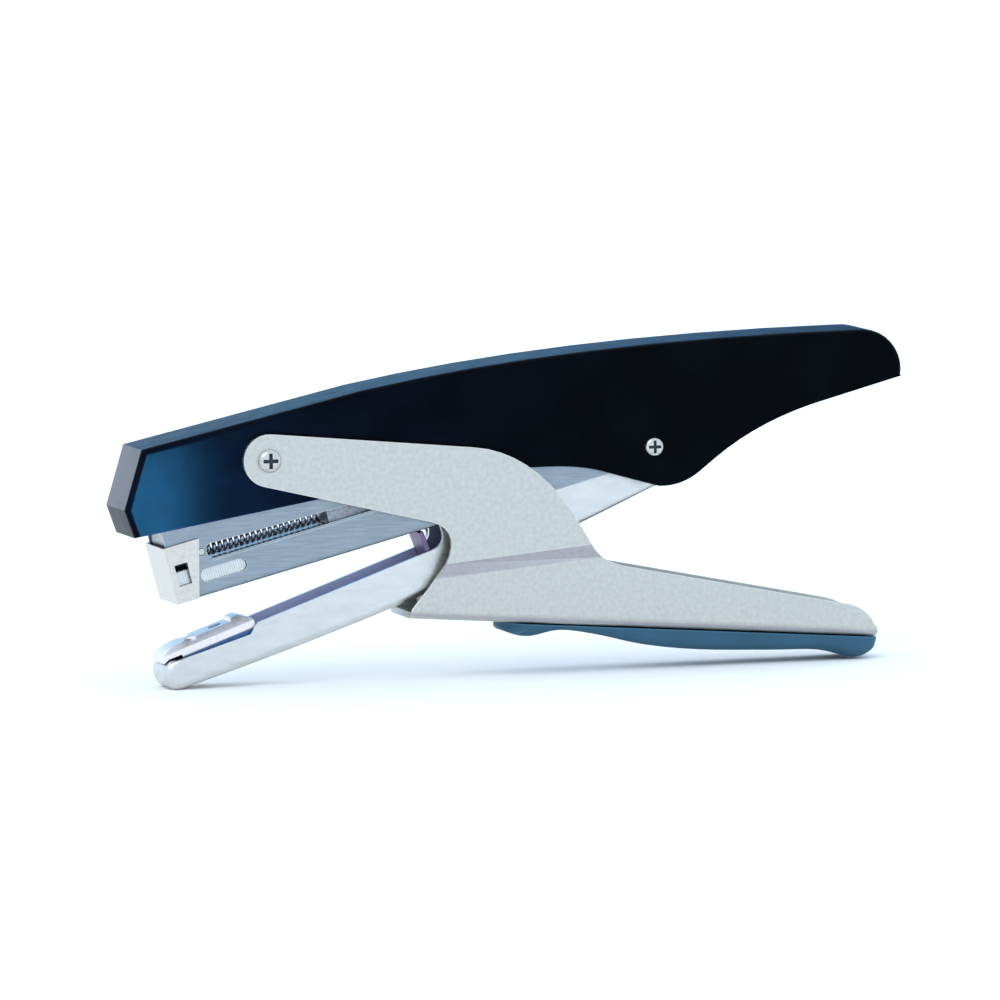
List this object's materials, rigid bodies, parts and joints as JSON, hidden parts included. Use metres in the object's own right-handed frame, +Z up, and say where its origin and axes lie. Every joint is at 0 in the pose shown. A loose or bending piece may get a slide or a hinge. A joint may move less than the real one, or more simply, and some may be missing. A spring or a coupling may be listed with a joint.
{
  "type": "plier stapler",
  "caption": "Hand-held plier stapler: a folded upper lever with a closed head, a hinged lower handle, an anvil jaw and a staple magazine between them.",
  "frame": {"origin": "centre of the bounding box, at the height of the lowest point of the grip", "axes": "+X runs from the head to the handle ends, +Y across the tool away from the screw heads, +Z up"},
  "size_m": [0.1678, 0.024, 0.0695],
  "materials": {
    "black_enamel": "glossy black stove enamel",
    "satin_nickel": "satin nickel plate on pressed steel",
    "bright_nickel": "bright nickel plate",
    "magazine_steel": "plain rolled sheet, lightly brushed",
    "plain_steel": "plain turned or pressed steel",
    "hard_steel": "hardened and ground",
    "staple_wire": "galvanised wire",
    "spring_wire": "drawn spring wire",
    "grip_plastic": "moulded dark plastic"
  },
  "bodies": {
    "upper_lever": {"upper_lever": "black_enamel", "driver_carrier": "plain_steel", "driver_blade": "hard_steel", "driver_rivet_upper": "plain_steel", "driver_rivet_lower": "plain_steel", "rear_pivot_sleeve": "plain_steel", "rear_pivot_screw": "bright_nickel", "rear_pivot_nut": "bright_nickel", "jaw_spring": "spring_wire", "magazine_spring": "spring_wire"},
    "lower_handle": {"lower_handle": "satin_nickel", "lower_grip": "grip_plastic", "front_pivot_sleeve": "plain_steel", "front_pivot_screw": "bright_nickel", "front_pivot_nut": "bright_nickel"},
    "jaw": {"jaw_frame": "satin_nickel", "anvil_plate": "hard_steel", "anvil_rivet": "plain_steel", "paper_stop": "satin_nickel"},
    "magazine": {"magazine_channel": "magazine_steel", "magazine_nose": "bright_nickel", "staple_rail": "plain_steel", "staple_strip": "staple_wire", "pusher_spring": "spring_wire", "spring_anchor_pin": "plain_steel", "magazine_spring_seat": "plain_steel"},
    "pusher": {"pusher": "magazine_steel"}
  },
  "joints": [
    {"name": "lower_handle_pivot", "type": "hinge", "parent": "upper_lever", "child": "lower_handle", "pos_m": [-0.05344, 0, 0.0473], "axis": [0, -1, 0], "range_deg": [0, 11.5], "stiffness_Nm_per_rad": 1.5, "springref_deg": -14.32},
    {"name": "jaw_pivot", "type": "hinge", "parent": "upper_lever", "child": "jaw", "pos_m": [0.02956, 0, 0.0468], "axis": [0, 1, 0], "range_deg": [0, 7.6], "stiffness_Nm_per_rad": 1, "springref_deg": -14.32, "deforming": ["jaw_spring"]},
    {"name": "magazine_pivot", "type": "hinge", "parent": "upper_lever", "child": "magazine", "pos_m": [0.02956, 0, 0.0468], "axis": [0, 1, 0], "range_deg": [0, 3.9], "stiffness_Nm_per_rad": 0.5, "springref_deg": -14.32, "deforming": ["magazine_spring"]},
    {"name": "pusher_slide", "type": "slide", "parent": "magazine", "child": "pusher", "axis": [0.9703, 0, 0.2419], "range_m": [0, 0.008], "stiffness_N_per_m": 60, "springref_m": -0.02}
  ],
  "couplings": [
    {"joint": "jaw_pivot", "follows": "lower_handle_pivot", "ratio": 0.648},
    {"joint": "magazine_pivot", "follows": "lower_handle_pivot", "ratio": 0.326}
  ]
}
